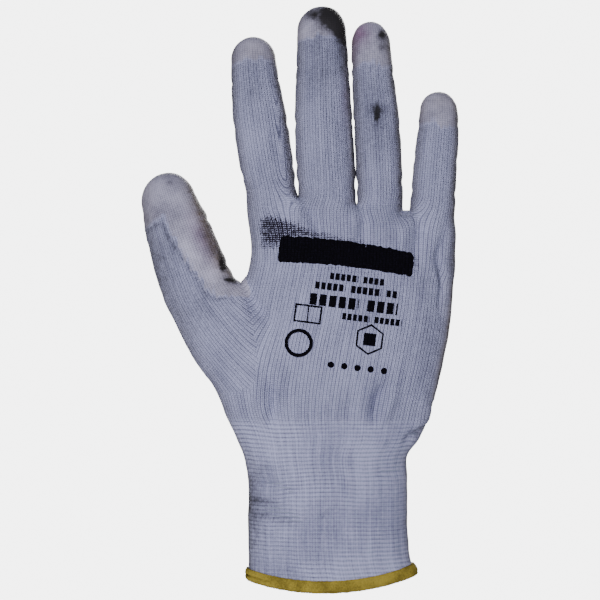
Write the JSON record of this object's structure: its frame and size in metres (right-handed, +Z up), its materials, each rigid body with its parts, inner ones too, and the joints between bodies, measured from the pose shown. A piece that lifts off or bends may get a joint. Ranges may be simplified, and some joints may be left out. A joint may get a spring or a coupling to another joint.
{
  "type": "knitted work glove",
  "caption": "Right-hand seamless knitted glove with a dipped palm, elastic cuff and bending digits.",
  "frame": {"origin": "centre of the wrist opening, in the cuff's hem", "axes": "+Z up the hand to the fingertips, +X towards the little finger, +Y out of the palm"},
  "size_m": [0.1416, 0.0368, 0.26],
  "materials": {
    "knit": "fine ribbed knit",
    "polyurethane": "matt microporous film",
    "elastic": "covered thread",
    "hem_thread": "overlock thread",
    "ink": "printed"
  },
  "bodies": {
    "cuff": {"cuff_liner": "knit", "cuff_hem": "hem_thread", "cuff_elastic": "elastic"},
    "wrist": {"wrist_liner": "knit", "wrist_elastic": "elastic"},
    "hand": {"hand_liner": "knit", "hand_coating": "polyurethane", "back_print": "ink", "marker_stroke": "ink"},
    "index_root": {"index_root_liner": "knit", "index_root_coating": "polyurethane"},
    "index_base": {"index_base_liner": "knit", "index_base_coating": "polyurethane"},
    "index_mid": {"index_mid_liner": "knit", "index_mid_coating": "polyurethane"},
    "index_tip": {"index_tip_liner": "knit", "index_tip_coating": "polyurethane"},
    "middle_base": {"middle_base_liner": "knit", "middle_base_coating": "polyurethane"},
    "middle_mid": {"middle_mid_liner": "knit", "middle_mid_coating": "polyurethane"},
    "middle_tip": {"middle_tip_liner": "knit", "middle_tip_coating": "polyurethane"},
    "ring_root": {"ring_root_liner": "knit", "ring_root_coating": "polyurethane"},
    "ring_base": {"ring_base_liner": "knit", "ring_base_coating": "polyurethane"},
    "ring_mid": {"ring_mid_liner": "knit", "ring_mid_coating": "polyurethane"},
    "ring_tip": {"ring_tip_liner": "knit", "ring_tip_coating": "polyurethane"},
    "little_root": {"little_root_liner": "knit", "little_root_coating": "polyurethane"},
    "little_base": {"little_base_liner": "knit", "little_base_coating": "polyurethane"},
    "little_mid": {"little_mid_liner": "knit", "little_mid_coating": "polyurethane"},
    "little_tip": {"little_tip_liner": "knit", "little_tip_coating": "polyurethane"},
    "thumb_root": {"thumb_root_liner": "knit", "thumb_root_coating": "polyurethane"},
    "thumb_base": {"thumb_base_liner": "knit", "thumb_base_coating": "polyurethane"},
    "thumb_tip": {"thumb_tip_liner": "knit", "thumb_tip_coating": "polyurethane"}
  },
  "joints": [
    {"name": "wrist_extension", "type": "hinge", "parent": "cuff", "child": "wrist", "pos_m": [-0.00126, -0.0134, 0.057], "axis": [1, 0, 0], "range_deg": [0, 40], "stiffness_Nm_per_rad": 0.25},
    {"name": "wrist_flexion", "type": "hinge", "parent": "wrist", "child": "hand", "pos_m": [-0.00114, 0.01396, 0.072], "axis": [-1, 0, 0], "range_deg": [0, 50], "stiffness_Nm_per_rad": 0.25},
    {"name": "index_spread", "type": "hinge", "parent": "hand", "child": "index_root", "pos_m": [-0.03747, 0, 0.17239], "axis": [-0.0047, -0.9997, 0.0258], "range_deg": [0, 10], "stiffness_Nm_per_rad": 0.04},
    {"name": "index_base_curl", "type": "hinge", "parent": "index_root", "child": "index_base", "pos_m": [-0.02778, 0.00922, 0.18122], "axis": [-0.9846, 0, -0.1749], "range_deg": [0, 80], "stiffness_Nm_per_rad": 0.02},
    {"name": "index_mid_curl", "type": "hinge", "parent": "index_base", "child": "index_mid", "pos_m": [-0.03092, 0.01095, 0.20126], "axis": [-0.99, 0, -0.1413], "range_deg": [0, 90], "stiffness_Nm_per_rad": 0.012},
    {"name": "index_tip_curl", "type": "hinge", "parent": "index_mid", "child": "index_tip", "pos_m": [-0.0335, 0.01424, 0.22065], "axis": [-0.9943, 0, -0.1068], "range_deg": [0, 50], "stiffness_Nm_per_rad": 0.012},
    {"name": "middle_base_curl", "type": "hinge", "parent": "hand", "child": "middle_base", "pos_m": [-0.00198, 0.00924, 0.17668], "axis": [-0.9981, 0, -0.0612], "range_deg": [0, 80], "stiffness_Nm_per_rad": 0.02},
    {"name": "middle_mid_curl", "type": "hinge", "parent": "middle_base", "child": "middle_mid", "pos_m": [-0.00317, 0.01066, 0.20258], "axis": [-0.9995, 0, -0.0323], "range_deg": [0, 90], "stiffness_Nm_per_rad": 0.012},
    {"name": "middle_tip_curl", "type": "hinge", "parent": "middle_mid", "child": "middle_tip", "pos_m": [-0.00367, 0.01372, 0.22798], "axis": [-0.9998, 0, -0.0207], "range_deg": [0, 50], "stiffness_Nm_per_rad": 0.012},
    {"name": "ring_spread", "type": "hinge", "parent": "hand", "child": "ring_root", "pos_m": [0.0327, 0, 0.16897], "axis": [-0.0001, 0.9997, -0.0263], "range_deg": [0, 5], "stiffness_Nm_per_rad": 0.04},
    {"name": "ring_base_curl", "type": "hinge", "parent": "ring_root", "child": "ring_base", "pos_m": [0.02174, 0.00912, 0.17589], "axis": [-0.998, 0, -0.0633], "range_deg": [0, 80], "stiffness_Nm_per_rad": 0.02},
    {"name": "ring_mid_curl", "type": "hinge", "parent": "ring_base", "child": "ring_mid", "pos_m": [0.02066, 0.01084, 0.19897], "axis": [-0.9982, 0, -0.0592], "range_deg": [0, 90], "stiffness_Nm_per_rad": 0.012},
    {"name": "ring_tip_curl", "type": "hinge", "parent": "ring_mid", "child": "ring_tip", "pos_m": [0.01889, 0.01431, 0.2234], "axis": [-0.9983, 0, -0.0585], "range_deg": [0, 50], "stiffness_Nm_per_rad": 0.012},
    {"name": "little_spread", "type": "hinge", "parent": "hand", "child": "little_root", "pos_m": [0.05513, 0, 0.16472], "axis": [-0.0017, 0.9997, -0.0261], "range_deg": [0, 12], "stiffness_Nm_per_rad": 0.04},
    {"name": "little_base_curl", "type": "hinge", "parent": "little_root", "child": "little_base", "pos_m": [0.04524, 0.0084, 0.1719], "axis": [-0.9968, 0, 0.0799], "range_deg": [0, 80], "stiffness_Nm_per_rad": 0.02},
    {"name": "little_mid_curl", "type": "hinge", "parent": "little_base", "child": "little_mid", "pos_m": [0.04658, 0.00992, 0.18673], "axis": [-0.9956, 0, 0.0933], "range_deg": [0, 85], "stiffness_Nm_per_rad": 0.012},
    {"name": "little_tip_curl", "type": "hinge", "parent": "little_mid", "child": "little_tip", "pos_m": [0.04798, 0.01249, 0.20066], "axis": [-0.9979, 0, 0.0649], "range_deg": [0, 45], "stiffness_Nm_per_rad": 0.012},
    {"name": "thumb_swing", "type": "hinge", "parent": "hand", "child": "thumb_root", "pos_m": [-0.04316, -0.00294, 0.13436], "axis": [0.3733, 0.9221, 0.1024], "range_deg": [0, 7], "stiffness_Nm_per_rad": 0.04},
    {"name": "thumb_base_curl", "type": "hinge", "parent": "thumb_root", "child": "thumb_base", "pos_m": [-0.05659, 0.01455, 0.13422], "axis": [-0.8406, 0.371, -0.3948], "range_deg": [0, 45], "stiffness_Nm_per_rad": 0.03},
    {"name": "thumb_tip_curl", "type": "hinge", "parent": "thumb_base", "child": "thumb_tip", "pos_m": [-0.06457, 0.01743, 0.15537], "axis": [-0.8695, 0.3677, -0.3299], "range_deg": [0, 55], "stiffness_Nm_per_rad": 0.02}
  ]
}
